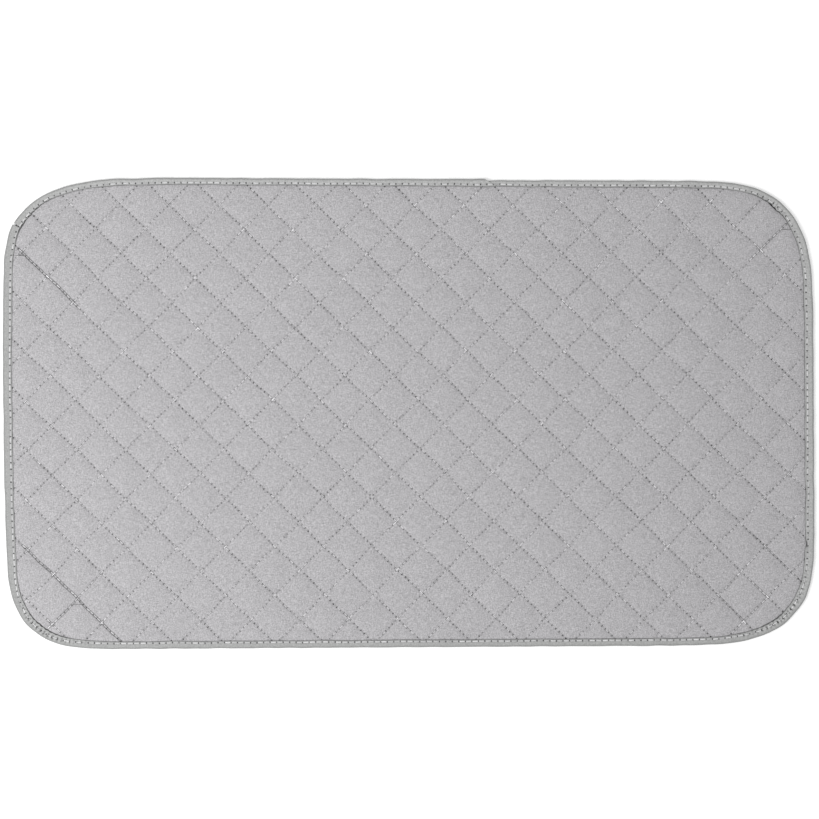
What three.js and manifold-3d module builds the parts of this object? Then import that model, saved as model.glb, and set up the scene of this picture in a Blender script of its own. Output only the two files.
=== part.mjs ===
// Quilted ironing pad: face cloth, wadding, insulating felt and back cloth in one flat sandwich,
// quilted in diamonds, bound with a folded tape and held flat by a disc magnet in each corner.
// Millimetres, +Z up. The origin is on the surface the pad lies on, under the middle of the pad,
// with X along its length and Y across its width.
import * as THREE from "three";
import { mergeVertices } from "three/addons/utils/BufferGeometryUtils.js";
import Module from "manifold-3d";

const wasm = await Module();
wasm.setup();

// Outline of the bound pad: nearly a rectangle, hand cut, so a little wider on the left
const PAD_LENGTH = 831.7;
const LEFT_WIDTH = 487.4;
const RIGHT_WIDTH = 477.3;
const LEFT_LEAN = 5.4;
const RIGHT_LEAN = 2.6;
const LEFT_BOW = 4.6;
const LEFT_BOW_REACH = 60;

// Rounding of its corners: how far each reaches along its two sides, and its power, 2 for an ellipse
const LOWER_LEFT_UP = 105;
const LOWER_LEFT_ALONG = 108;
const LOWER_RIGHT_ALONG = 139;
const LOWER_RIGHT_UP = 117;
const UPPER_RIGHT_DOWN = 138;
const UPPER_RIGHT_ALONG = 124;
const UPPER_LEFT_ALONG = 168;
const UPPER_LEFT_DOWN = 108;
const CORNER_EXPONENT = 3;

// Layers, from the underside up: their thickness in the field and pressed flat under the tape
const CLOTH = 0.5;
const FELT = 1.6;
const FELT_PRESSED = 0.4;
const WADDING = 1.0;
const WADDING_PRESSED = 0.4;
const LAYER_GAP = 0.1;
const EASE_WIDTH = 5;

// Quilting: two families of straight seams that cross in diamonds, and the pillows between them
const SEAMS_PER_FAMILY = 23;
const FALLING_ANGLE = 44.25;
const FALLING_FIRST = 10.6;
const FALLING_LAST = 41.6;
const FALLING_BOW = 1.3;
const RISING_ANGLE = 45.5;
const RISING_FIRST = 20.4;
const RISING_LAST = 24.1;
const SEAM_SPREAD = 0.015;
const SEAM_RISE = 0.2;
const CROWN = 2.2;

// Edge tape, folded over the sandwich, in two lengths that meet at a splice and at a butt
const TAPE = 0.6;
const TAPE_LEG = 8.3;
const TAPE_FOLD = 0.7;
const TAPE_CLEARANCE = 0.25;
const TAPE_EDGE_GAP = 0.4;
const TAPE_END_GAP = 0.4;
const SPLICE_DISTANCE = 333.4;
const BUTT_DISTANCE = 169.8;

// Sewing thread, laid on the cloth, and the row of the edge seam
const THREAD_WIDTH = 0.5;
const THREAD_HEIGHT = 0.3;
const THREAD_GAP = 0.1;
const FLOOR_GAP = 0.05;
const EDGE_SEAM_INSET = 5.6;

// Corner magnets, let into the felt, and their least distance from where the layers ease down to the tape
const MAGNET_DIAMETER = 20;
const MAGNET_THICKNESS = 1.5;
const MAGNET_MARGIN = 3;
const MAGNET_CLEARANCE = 0.3;

// Fineness of corners and discs
const TURN_STEP = THREE.MathUtils.degToRad(5);
const DISC_SIDES = 32;
const MERGE_TOLERANCE = 1e-4;

// Heights of the layers in the field and under the tape
const tapeLow = FLOOR_GAP + THREAD_HEIGHT + THREAD_GAP;
const marginLow = tapeLow + TAPE + TAPE_CLEARANCE;
const field = stack(0, { back: CLOTH, felt: FELT, wadding: WADDING, face: CLOTH });
const margin = stack(marginLow, { back: CLOTH, felt: FELT_PRESSED, wadding: WADDING_PRESSED, face: CLOTH });
const tapeHigh = margin.face.high + TAPE_CLEARANCE + TAPE;
const seamHeight = field.face.high + SEAM_RISE;

// Insets from the pad's outer edge
const clothInset = TAPE + TAPE_CLEARANCE;
const quiltInset = TAPE_LEG + TAPE_EDGE_GAP;
const fieldInset = quiltInset + EASE_WIDTH;
const magnetInset = fieldInset + MAGNET_MARGIN + MAGNET_DIAMETER / 2;

// Underside and top of each layer, piled up from a starting height
function stack(start, thicknesses) {
  const layers = {};
  let low = start;
  for (const [name, thickness] of Object.entries(thicknesses)) {
    layers[name] = { low, high: low + thickness };
    low += thickness + LAYER_GAP;
  }
  return layers;
}

// Corners of the outline, counter-clockwise, with the reach of their rounding before and after them
const leftX = -PAD_LENGTH / 2;
const rightX = PAD_LENGTH / 2;
const corners = [
  {
    name: "lower_left", x: leftX + LEFT_LEAN / 2, y: -LEFT_WIDTH / 2,
    before: LOWER_LEFT_UP, after: LOWER_LEFT_ALONG,
  },
  {
    name: "lower_right", x: rightX + RIGHT_LEAN / 2, y: -RIGHT_WIDTH / 2,
    before: LOWER_RIGHT_ALONG, after: LOWER_RIGHT_UP,
  },
  {
    name: "upper_right", x: rightX - RIGHT_LEAN / 2, y: RIGHT_WIDTH / 2,
    before: UPPER_RIGHT_DOWN, after: UPPER_RIGHT_ALONG,
  },
  {
    name: "upper_left", x: leftX - LEFT_LEAN / 2, y: LEFT_WIDTH / 2,
    before: UPPER_LEFT_ALONG, after: UPPER_LEFT_DOWN,
  },
  { name: "left_bow", x: leftX - LEFT_BOW, y: 0, before: LEFT_BOW_REACH, after: LEFT_BOW_REACH },
];

// Stations of one corner: points of the outer edge with their outward normals, at even turns of the edge
function cornerStations(corner, index) {
  const last = corners[(index + corners.length - 1) % corners.length];
  const next = corners[(index + 1) % corners.length];
  const arriving = new THREE.Vector2(corner.x - last.x, corner.y - last.y).normalize();
  const leaving = new THREE.Vector2(next.x - corner.x, next.y - corner.y).normalize();
  const steps = Math.max(1, Math.round(Math.acos(arriving.dot(leaving)) / TURN_STEP));
  const stations = [];
  for (let step = 0; step <= steps; step++) {
    const turned = (Math.PI / 2) * (step / steps);
    const short = corner.before * (1 - cornerShare(corner.before, corner.after, turned));
    const past = corner.after * (1 - cornerShare(corner.after, corner.before, Math.PI / 2 - turned));
    const ahead = arriving.clone().multiplyScalar(Math.cos(turned));
    ahead.addScaledVector(leaving, Math.sin(turned)).normalize();
    stations.push({
      corner: corner.name,
      x: corner.x - arriving.x * short + leaving.x * past,
      y: corner.y - arriving.y * short + leaving.y * past,
      normalX: ahead.y,
      normalY: -ahead.x,
    });
  }
  return stations;
}

// Share of its reach that a corner's curve has covered when it has turned so far
function cornerShare(reach, otherReach, turned) {
  const power = CORNER_EXPONENT / (2 * CORNER_EXPONENT - 2);
  const covered = Math.max(0, reach * Math.sin(turned)) ** power;
  const left = Math.max(0, otherReach * Math.cos(turned)) ** power;
  return (covered / Math.hypot(covered, left)) ** (2 / CORNER_EXPONENT);
}

const edge = corners.flatMap(cornerStations);
centreOnOrigin(edge);

function centreOnOrigin(stations) {
  const xs = stations.map((station) => station.x);
  const ys = stations.map((station) => station.y);
  const shiftX = (Math.min(...xs) + Math.max(...xs)) / 2;
  const shiftY = (Math.min(...ys) + Math.max(...ys)) / 2;
  for (const station of stations) {
    station.x -= shiftX;
    station.y -= shiftY;
  }
}

// Distance of each station along the edge, and the length of the whole edge
const edgeDistances = [0];
for (let index = 0; index < edge.length; index++) {
  const next = edge[(index + 1) % edge.length];
  edgeDistances.push(edgeDistances[index] + Math.hypot(next.x - edge[index].x, next.y - edge[index].y));
}
const edgeLength = edgeDistances[edge.length];

function insetPoint(station, inset) {
  return [station.x - inset * station.normalX, station.y - inset * station.normalY];
}

function outline(inset) {
  return edge.map((station) => insetPoint(station, inset));
}

// Station at any distance along the edge
function edgeStation(distance) {
  const wrapped = ((distance % edgeLength) + edgeLength) % edgeLength;
  const index = edgeDistances.findLastIndex((reached) => reached <= wrapped) % edge.length;
  const from = edge[index];
  const to = edge[(index + 1) % edge.length];
  const share = (wrapped - edgeDistances[index]) / (edgeDistances[index + 1] - edgeDistances[index]);
  const mixed = {};
  for (const key of ["x", "y", "normalX", "normalY"]) {
    mixed[key] = THREE.MathUtils.lerp(from[key], to[key], share);
  }
  return mixed;
}

// Stations of the stretch of edge between two distances
function edgeRun(start, end) {
  const between = [];
  for (let lap = Math.floor(start / edgeLength); lap <= Math.floor(end / edgeLength); lap++) {
    edge.forEach((station, index) => {
      const distance = edgeDistances[index] + lap * edgeLength;
      if (distance > start + MERGE_TOLERANCE && distance < end - MERGE_TOLERANCE) between.push(station);
    });
  }
  return [edgeStation(start), ...between, edgeStation(end)];
}

// Closed body from points and triangles, turned so that its faces point out
function closedBody(points, triangles) {
  const corner = points.map((point) => new THREE.Vector3(...point));
  let volume = 0;
  for (const [a, b, c] of triangles) {
    volume += corner[a].dot(new THREE.Vector3().crossVectors(corner[b], corner[c]));
  }
  const faces = volume > 0 ? triangles : triangles.map(([a, b, c]) => [a, c, b]);
  const geometry = new THREE.BufferGeometry();
  geometry.setAttribute("position", new THREE.Float32BufferAttribute(points.flat(), 3));
  geometry.setIndex(faces.flat());
  geometry.computeVertexNormals();
  return geometry;
}

// Triangles of the band between two rings of points that start at the given indices
function band(lowStart, highStart, count, closed) {
  const triangles = [];
  const steps = closed ? count : count - 1;
  for (let index = 0; index < steps; index++) {
    const next = (index + 1) % count;
    triangles.push([lowStart + index, lowStart + next, highStart + next]);
    triangles.push([lowStart + index, highStart + next, highStart + index]);
  }
  return triangles;
}

// Layer that fills the outline: rings of [inset, height] from the underside to the top
function layer(steps) {
  const points = steps.flatMap(([inset, height]) => outline(inset).map((point) => [...point, height]));
  const count = edge.length;
  const triangles = [];
  for (let ring = 0; ring + 1 < steps.length; ring++) {
    triangles.push(...band(ring * count, (ring + 1) * count, count, true));
  }
  const top = (steps.length - 1) * count;
  for (let index = 1; index + 1 < count; index++) {
    triangles.push([0, index + 1, index]);
    triangles.push([top, top + index, top + index + 1]);
  }
  return closedBody(points, triangles);
}

// Layer of the sandwich: full thickness in the field, pressed flat under the tape
function sandwichLayer(name) {
  return layer([
    [fieldInset, field[name].low],
    [quiltInset, margin[name].low],
    [clothInset, margin[name].low],
    [clothInset, margin[name].high],
    [quiltInset, margin[name].high],
    [fieldInset, field[name].high],
  ]);
}

// Body swept along a run of stations with a section of [inset, height] points
function sweep(section, run, closed) {
  const count = section.length;
  const points = run.flatMap((station) => section.map(([inset, z]) => [...insetPoint(station, inset), z]));
  const triangles = [];
  const steps = closed ? run.length : run.length - 1;
  for (let index = 0; index < steps; index++) {
    triangles.push(...band(index * count, ((index + 1) % run.length) * count, count, true));
  }
  if (!closed) {
    const shape = section.map(([inset, z]) => new THREE.Vector2(inset, z));
    const last = (run.length - 1) * count;
    const clockwise = THREE.ShapeUtils.isClockWise(shape);
    for (const [a, b, c] of THREE.ShapeUtils.triangulateShape(shape, [])) {
      const cap = clockwise ? [a, b, c] : [a, c, b];
      triangles.push(cap);
      triangles.push([last + cap[0], last + cap[2], last + cap[1]]);
    }
  }
  return closedBody(points, triangles);
}

// Joins and cuts
function toManifold(geometry) {
  const bare = new THREE.BufferGeometry();
  bare.setAttribute("position", geometry.getAttribute("position"));
  bare.setIndex(geometry.getIndex());
  const merged = mergeVertices(bare, MERGE_TOLERANCE);
  const vertProperties = Float32Array.from(merged.getAttribute("position").array);
  const triVerts = Uint32Array.from(merged.getIndex().array);
  return new wasm.Manifold(new wasm.Mesh({ numProp: 3, vertProperties, triVerts }));
}

function fromManifold(body) {
  const mesh = body.getMesh();
  const geometry = new THREE.BufferGeometry();
  geometry.setAttribute("position", new THREE.BufferAttribute(mesh.vertProperties, mesh.numProp));
  geometry.setIndex(new THREE.BufferAttribute(mesh.triVerts, 1));
  geometry.computeVertexNormals();
  return geometry;
}

// Quilting seams: each family is a normal direction and the seams' distances along it
const quiltOutline = outline(quiltInset);

function seamFamily(normalX, normalY, first, last, bow) {
  const reach = quiltOutline.map(([x, y]) => x * normalX + y * normalY);
  const low = Math.min(...reach) + first;
  const high = Math.max(...reach) - last;
  const distances = [];
  for (let seam = 0; seam < SEAMS_PER_FAMILY; seam++) {
    const place = (2 * seam) / (SEAMS_PER_FAMILY - 1) - 1;
    const spread = place + SEAM_SPREAD * (place ** 3 - place);
    distances.push((low + high) / 2 + ((high - low) / 2) * spread + bow * (1 - place * place));
  }
  return { normalX, normalY, distances };
}

const fallingTilt = THREE.MathUtils.degToRad(FALLING_ANGLE);
const risingTilt = THREE.MathUtils.degToRad(RISING_ANGLE);
const falling = seamFamily(
  Math.sin(fallingTilt), Math.cos(fallingTilt), FALLING_FIRST, FALLING_LAST, FALLING_BOW);
const rising = seamFamily(Math.sin(risingTilt), -Math.cos(risingTilt), RISING_FIRST, RISING_LAST, 0);

// Point where a falling and a rising seam cross
function crossing(fallingDistance, risingDistance) {
  const determinant = falling.normalX * rising.normalY - falling.normalY * rising.normalX;
  return [
    (fallingDistance * rising.normalY - risingDistance * falling.normalY) / determinant,
    (risingDistance * falling.normalX - fallingDistance * rising.normalX) / determinant,
  ];
}

// Two points where a seam runs out of the quilted outline
function seamEnds(family, distance) {
  const ends = [];
  const offset = ([x, y]) => x * family.normalX + y * family.normalY - distance;
  quiltOutline.forEach((from, index) => {
    const to = quiltOutline[(index + 1) % quiltOutline.length];
    const here = offset(from);
    const there = offset(to);
    if (here < 0 === there < 0) return;
    const share = here / (here - there);
    ends.push([from[0] + share * (to[0] - from[0]), from[1] + share * (to[1] - from[1])]);
  });
  return ends;
}

// Convex polygon cut down to what lies inside the quilted outline
function clipToQuilt(polygon) {
  let kept = polygon;
  quiltOutline.forEach(([ax, ay], index) => {
    const [bx, by] = quiltOutline[(index + 1) % quiltOutline.length];
    const side = ([x, y]) => (bx - ax) * (y - ay) - (by - ay) * (x - ax);
    const clipped = [];
    kept.forEach((point, place) => {
      const next = kept[(place + 1) % kept.length];
      const here = side(point);
      const there = side(next);
      if (here >= 0) clipped.push(point);
      if (here * there < 0) {
        const share = here / (here - there);
        clipped.push([point[0] + share * (next[0] - point[0]), point[1] + share * (next[1] - point[1])]);
      }
    });
    kept = clipped;
  });
  return kept;
}

function polygonArea(polygon) {
  let doubled = 0;
  polygon.forEach(([x, y], index) => {
    const [nextX, nextY] = polygon[(index + 1) % polygon.length];
    doubled += x * nextY - nextX * y;
  });
  return doubled / 2;
}

// Cells between the seams, each a counter-clockwise polygon
function quiltCells() {
  const fallingBounds = [-PAD_LENGTH, ...falling.distances, PAD_LENGTH];
  const risingBounds = [-PAD_LENGTH, ...rising.distances, PAD_LENGTH];
  const cells = [];
  for (let row = 0; row + 1 < fallingBounds.length; row++) {
    for (let column = 0; column + 1 < risingBounds.length; column++) {
      const cell = clipToQuilt([
        crossing(fallingBounds[row], risingBounds[column]),
        crossing(fallingBounds[row], risingBounds[column + 1]),
        crossing(fallingBounds[row + 1], risingBounds[column + 1]),
        crossing(fallingBounds[row + 1], risingBounds[column]),
      ]);
      if (cell.length > 2) cells.push(cell);
    }
  }
  return cells;
}

// Block of pillows: a crowned roof over each cell, walls round the quilted outline and a flat foot
function pillowBlock() {
  const points = [];
  const indexOf = new Map();
  const vertex = (x, y, z) => {
    const key = [x, y, z].map((value) => Math.round(value / MERGE_TOLERANCE)).join(" ");
    if (!indexOf.has(key)) {
      indexOf.set(key, points.length);
      points.push([x, y, z]);
    }
    return indexOf.get(key);
  };
  const cells = quiltCells();
  const fullArea = Math.max(...cells.map(polygonArea));
  const triangles = [];
  const openEdges = new Map();
  for (const cell of cells) {
    const rim = cell.map(([x, y]) => vertex(x, y, seamHeight));
    const ring = rim.filter((corner, index) => corner !== rim[(index + 1) % rim.length]);
    if (ring.length < 3) continue;
    const middleX = cell.reduce((sum, [x]) => sum + x, 0) / cell.length;
    const middleY = cell.reduce((sum, [, y]) => sum + y, 0) / cell.length;
    const crown = CROWN * Math.sqrt(polygonArea(cell) / fullArea);
    const apex = vertex(middleX, middleY, seamHeight + crown);
    ring.forEach((from, index) => {
      const to = ring[(index + 1) % ring.length];
      triangles.push([from, to, apex]);
      if (!openEdges.delete(`${to} ${from}`)) openEdges.set(`${from} ${to}`, [from, to]);
    });
  }
  const footCentre = vertex(0, 0, 0);
  for (const [from, to] of openEdges.values()) {
    const lowFrom = vertex(points[from][0], points[from][1], 0);
    const lowTo = vertex(points[to][0], points[to][1], 0);
    triangles.push([from, lowFrom, lowTo]);
    triangles.push([from, lowTo, to]);
    triangles.push([footCentre, lowTo, lowFrom]);
  }
  return closedBody(points, triangles);
}

// Face cover: the cloth with the loft that the wadding gives it, flat under the tape
function faceCover() {
  const cloth = toManifold(sandwichLayer("face"));
  const belowCloth = toManifold(layer([
    [fieldInset, -CLOTH],
    [clothInset, -CLOTH],
    [clothInset, margin.face.low + CLOTH / 2],
    [quiltInset, margin.face.low + CLOTH / 2],
    [fieldInset, field.face.low + CLOTH / 2],
  ]));
  return fromManifold(cloth.add(toManifold(pillowBlock()).subtract(belowCloth)));
}

// Corner magnets and the holes they lie in
const magnetCorners = ["lower_left", "lower_right", "upper_right", "upper_left"];

// Middles of the cells between the seams
function cellMiddles() {
  const halfway = ({ distances }) => distances.slice(1).map((next, seam) => (distances[seam] + next) / 2);
  return halfway(falling).flatMap((row) => halfway(rising).map((column) => crossing(row, column)));
}

// Distance of a point inside the pad's outer edge
function insetOf([x, y]) {
  return Math.min(...edge.map((station) => {
    return (station.x - x) * station.normalX + (station.y - y) * station.normalY;
  }));
}

// No seam can run through a magnet: it lies in the middle of the cell next to its corner that has room
function magnetPlace(corner) {
  const stations = edge.filter((station) => station.corner === corner);
  const tip = stations[Math.floor(stations.length / 2)];
  const away = ([x, y]) => Math.hypot(x - tip.x, y - tip.y);
  const roomy = cellMiddles().filter((middle) => insetOf(middle) >= magnetInset);
  return roomy.reduce((best, middle) => (away(middle) < away(best) ? middle : best));
}

function disc(diameter, thickness) {
  const geometry = new THREE.CylinderGeometry(diameter / 2, diameter / 2, thickness, DISC_SIDES);
  geometry.rotateX(Math.PI / 2);
  return geometry;
}

function insulatingFelt() {
  let felt = toManifold(sandwichLayer("felt"));
  for (const corner of magnetCorners) {
    const hole = disc(MAGNET_DIAMETER + 2 * MAGNET_CLEARANCE, 2 * seamHeight);
    hole.translate(...magnetPlace(corner), 0);
    felt = felt.subtract(toManifold(hole));
  }
  return fromManifold(felt);
}

// Edge tape: a folded section swept along two stretches of the edge
const tapeSection = [
  [TAPE_LEG, tapeLow],
  [TAPE_FOLD, tapeLow],
  [0, tapeLow + TAPE_FOLD],
  [0, tapeHigh - TAPE_FOLD],
  [TAPE_FOLD, tapeHigh],
  [TAPE_LEG, tapeHigh],
  [TAPE_LEG, tapeHigh - TAPE],
  [TAPE, tapeHigh - TAPE],
  [TAPE, tapeLow + TAPE],
  [TAPE_LEG, tapeLow + TAPE],
];
const upperLeftStart = edgeDistances[edge.findIndex((station) => station.corner === "upper_left")];
const splice = upperLeftStart - SPLICE_DISTANCE;
const butt = upperLeftStart + BUTT_DISTANCE;

// Thread section on the row of the edge seam, standing on the given height
function seamSection(low) {
  const near = EDGE_SEAM_INSET - THREAD_WIDTH / 2;
  const far = EDGE_SEAM_INSET + THREAD_WIDTH / 2;
  return [[near, low], [far, low], [far, low + THREAD_HEIGHT], [near, low + THREAD_HEIGHT]];
}

// Materials
const colours = {
  face: { color: 0xb5b4b6, roughness: 0.9, metalness: 0 },
  back: { color: 0xaeadaf, roughness: 0.9, metalness: 0 },
  wadding: { color: 0xe9e8e4, roughness: 1, metalness: 0 },
  felt: { color: 0xc9c7c0, roughness: 1, metalness: 0 },
  tape: { color: 0xb1b2b1, roughness: 0.85, metalness: 0 },
  thread: { color: 0xc8c7c9, roughness: 0.6, metalness: 0 },
  magnet: { color: 0xb9bbbe, roughness: 0.3, metalness: 1 },
};

// Assembly
const ironingPad = new THREE.Group();

function addPiece(name, geometry, finish) {
  const piece = new THREE.Mesh(geometry, new THREE.MeshStandardMaterial(colours[finish]));
  piece.name = name;
  ironingPad.add(piece);
  return piece;
}

addPiece("back_cover", sandwichLayer("back"), "back");
addPiece("insulating_felt", insulatingFelt(), "felt");
addPiece("wadding", sandwichLayer("wadding"), "wadding");
addPiece("face_cover", faceCover(), "face");

for (const corner of magnetCorners) {
  const magnet = addPiece(`magnet_${corner}`, disc(MAGNET_DIAMETER, MAGNET_THICKNESS), "magnet");
  magnet.position.set(...magnetPlace(corner), field.felt.low + MAGNET_THICKNESS / 2);
}

addPiece("edge_tape_short", sweep(tapeSection, edgeRun(splice, butt - TAPE_END_GAP)), "tape");
addPiece("edge_tape_main", sweep(tapeSection, edgeRun(butt, splice + edgeLength - TAPE_END_GAP)), "tape");
addPiece("edge_seam_needle_thread", sweep(seamSection(tapeHigh + THREAD_GAP), edge, true), "thread");
addPiece("edge_seam_bobbin_thread", sweep(seamSection(FLOOR_GAP), edge, true), "thread");

// One thread of a quilting seam, from the tape on one side of the pad to the tape on the other
function addQuiltingThread(name, family, distance, low) {
  const [start, end] = seamEnds(family, distance);
  const length = Math.hypot(end[0] - start[0], end[1] - start[1]) - THREAD_WIDTH;
  const thread = addPiece(name, new THREE.BoxGeometry(length, THREAD_WIDTH, THREAD_HEIGHT), "thread");
  thread.position.set((start[0] + end[0]) / 2, (start[1] + end[1]) / 2, low + THREAD_HEIGHT / 2);
  thread.rotation.z = Math.atan2(family.normalX, -family.normalY);
}

const risingThreadLow = seamHeight + THREAD_GAP;
const fallingThreadLow = risingThreadLow + THREAD_HEIGHT + THREAD_GAP;
for (let seam = 0; seam < SEAMS_PER_FAMILY; seam++) {
  const number = String(seam + 1).padStart(2, "0");
  addQuiltingThread(`quilting_thread_rising_${number}`, rising, rising.distances[seam], risingThreadLow);
  addQuiltingThread(`quilting_thread_falling_${number}`, falling, falling.distances[seam], fallingThreadLow);
}

export default ironingPad;
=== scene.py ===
import math

import bpy
import numpy as np
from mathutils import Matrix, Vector
from mathutils.geometry import convex_hull_2d
from mathutils.kdtree import KDTree


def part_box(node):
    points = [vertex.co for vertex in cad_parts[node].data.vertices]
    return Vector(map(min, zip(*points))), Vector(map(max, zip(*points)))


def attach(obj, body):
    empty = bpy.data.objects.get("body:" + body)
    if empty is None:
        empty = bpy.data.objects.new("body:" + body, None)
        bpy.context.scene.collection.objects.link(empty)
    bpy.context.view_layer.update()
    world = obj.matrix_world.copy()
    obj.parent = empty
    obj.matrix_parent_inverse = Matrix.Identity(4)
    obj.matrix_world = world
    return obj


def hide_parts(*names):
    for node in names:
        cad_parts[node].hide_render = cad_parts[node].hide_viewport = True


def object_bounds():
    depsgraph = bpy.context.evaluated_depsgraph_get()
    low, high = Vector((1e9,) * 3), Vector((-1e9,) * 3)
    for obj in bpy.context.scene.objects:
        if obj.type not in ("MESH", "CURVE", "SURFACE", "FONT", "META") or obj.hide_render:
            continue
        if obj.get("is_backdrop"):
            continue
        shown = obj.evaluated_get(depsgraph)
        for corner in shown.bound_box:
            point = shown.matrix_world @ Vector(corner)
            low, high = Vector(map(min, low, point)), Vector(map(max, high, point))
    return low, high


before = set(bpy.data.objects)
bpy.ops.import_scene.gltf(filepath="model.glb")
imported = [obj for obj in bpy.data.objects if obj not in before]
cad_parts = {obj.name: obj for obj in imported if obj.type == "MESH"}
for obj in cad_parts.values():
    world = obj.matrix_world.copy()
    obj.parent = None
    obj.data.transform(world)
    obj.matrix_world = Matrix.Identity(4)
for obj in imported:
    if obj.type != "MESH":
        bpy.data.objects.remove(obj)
cad_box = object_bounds()
rng = np.random.default_rng(7)
MM = 0.001
TURN = 2 * math.pi

# Picture: the photograph's frame, its scale at the pad and the pixel of the pad's middle
PICTURE_PX = 819
MM_PER_PX = 1.03
PAD_MIDDLE_PX = (408.06, 412.92)
CAMERA_HEIGHT = 3.0
SENSOR_MM = 36.0

# Random lines and fields: the number of their waves, and the spread of the waves' lengths
DRIFT_WAVES = 9
DRIFT_SPREAD = (0.7, 1.4)
EDGE_WAVES = 7
EDGE_SPREAD = (0.5, 1.5)

# Layers: heights above the surface that the pad lies on, thicknesses, and the fit of the filling
SEAM_TOP = 3.8 * MM
MARGIN_TOP = 3.4 * MM
SEAM_BOTTOM = 1.2 * MM
CROWN = 1.8 * MM
CLOTH = 0.5 * MM
LAYER_GAP = 0.1 * MM
FELT_TOP = 2.3 * MM
FELT_SEAM_TOP = 2.6 * MM
FELT_MARGIN_TOP = 2.1 * MM
WADDING_FULLNESS = 0.6
WADDING_TUCK = 0.3 * MM
TUCK_FADE = (2 * MM, 12 * MM)
MAGNET_POCKET = 15 * MM

# Pillows between the seams: how steeply they rise, and how their fullness varies
FLANK = 9.0 * MM
EDGE_FLANK = 3.2 * MM
MARGIN_EASE = 3.0 * MM
CROWN_SPREAD = 0.10
BROAD_UNEVEN = 0.06
BROAD_LENGTH = 60 * MM
FINE_UNEVEN = 0.04
FINE_LENGTH = 20 * MM
FULLER_LEFT = 0.40
FULLER_RIGHT = 0.25
FULLER_REACH = (150 * MM, 380 * MM)
BACK_FULLNESS = 1.35
BACK_SHOW = 0.4

# Cloth simulation that swells the face cloth
SWELL_FRAMES = 8
SWELL_CAP = 1.0 * MM
SWELL_UNDER_LIP = 1.5 * MM
SWELL_HOLD = 0.01 * MM
SWELL_SETTINGS = {
    "quality": 4,
    "mass": 0.0005,
    "tension_stiffness": 8,
    "compression_stiffness": 8,
    "shear_stiffness": 4,
    "bending_stiffness": 0.05,
    "air_damping": 4,
    "use_pressure": True,
    "uniform_pressure_force": 5.0,
}

# Grids of the quilted layers, their values that no finish reads, and the scale and shift of their maps
FACE_PARTS = 12
BACK_PARTS = 8
FILL_PARTS = 4
GRADING = 0.6
GRID_REACH = 1.03
SHAPE_VALUES = ("places", "quads", "loft", "fullness")
SHOWN_MAP = (0.98, (0.01, 0.01))
HIDDEN_MAP = (0.4, (0.01, 0.6))

# Quilting seams: how they stray, and how holes, stitches and the painted shade of creases show: length,
# mean, spread, least, most
WANDER = 0.45 * MM
WANDER_LENGTH = 90 * MM
FINE_WANDER = 0.22 * MM
FINE_WANDER_LENGTH = 28 * MM
WANDER_FROM_LIP = (2 * MM, 25 * MM)
FALL_HOLES = (45 * MM, 0.95, 0.14, 0.3, 1.3)
RISE_HOLES = (35 * MM, 0.85, 0.18, 0.2, 1.2)
PROUD_CHANCE = (40 * MM, 0.16, 0.20, 0.0, 0.6)
CREASE_SHADE_CHANCE = (55 * MM, 0.0, 0.15, 0.0, 0.3)
STRETCH_FADE = (3 * MM, 7 * MM)

# Quilting stitches
STITCH = 4.9 * MM
STITCH_SHIFT = 13.7
THREAD_RADIUS = 0.27 * MM
PROUD_RADIUS = 0.24 * MM
STITCH_RISE = 0.05 * MM
PROUD_RISE = 0.32 * MM
PROUD_SPREAD = (0.3, 1.7)
PROUD_HIGHLIGHT = 0.2
CROSSING_REACH = 3 * MM
CROSSING_PROUD = 0.2
CROSSING_HIGHLIGHT = 0.36
FIRST_HOLE = 0.5 * MM
HOLE_JITTER = 0.12 * MM
BOBBIN_RISE = -0.15 * MM
BOBBIN_SIDES = 4
QUILTING_SIDES = 5
TAIL_TONE = 0.40
TAIL_RISE = 0.15 * MM
TAIL_PARTS = 3

# Every stitch: its bend, as shares of its length, rise and radius, its spread of tone and its map's margin
STITCH_BEND = (
    (0.0, -1.2, 0.75), (0.08, 0.1, 0.95), (0.25, 0.8, 1.0), (0.5, 1.0, 1.05), (0.75, 0.8, 1.0),
    (0.92, 0.1, 0.95), (1.0, -1.2, 0.75),
)
STITCH_TONES = (0.72, 1.42)
STITCH_MARGIN = 0.05

# Edge tape: a U-shaped section, and its width, seam inset and painted light and shade on the right, upper,
# left and lower side
EDGE_STEP = 1.0 * MM
EDGE_SMOOTHING = 10
TAPE_WIDTHS = np.array([9.2, 6.9, 9.3, 7.6]) * MM
EDGE_SEAM_INSETS = np.array([6.7, 5.1, 7.3, 6.0]) * MM
TAPE_SIDE_SHADING = np.array([1.05, 1.03, 0.91, 0.94])
LIP_UNEVEN = 0.15 * MM
LIP_UNEVEN_LENGTH = 60 * MM
RIM_INSET = 2.2 * MM
RIM_WOBBLE = 0.12 * MM
WOBBLE_LENGTH = 35 * MM
TAPE_LOW = 0.45 * MM
TAPE_HIGH = 4.25 * MM
TAPE_MIDDLE = (TAPE_HIGH + TAPE_LOW) / 2
TAPE_THICKNESS = 0.55 * MM
TAPE_SHARES = np.array([0.30, 0.38, 0.46, 0.54, 0.60, 0.66, 0.72, 0.80, 0.88, 0.94, 0.985])
LIP_PARTS = (0.3, 0.7)
FOLD_RADIUS = (TAPE_HIGH - TAPE_LOW) / 2
FOLD_TURN = 80
FOLD_POINTS = 9
LOWER_PUFF = 0.3
STRIPS = 10
STRIP_MARGINS = (0.01, 0.02)

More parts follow.
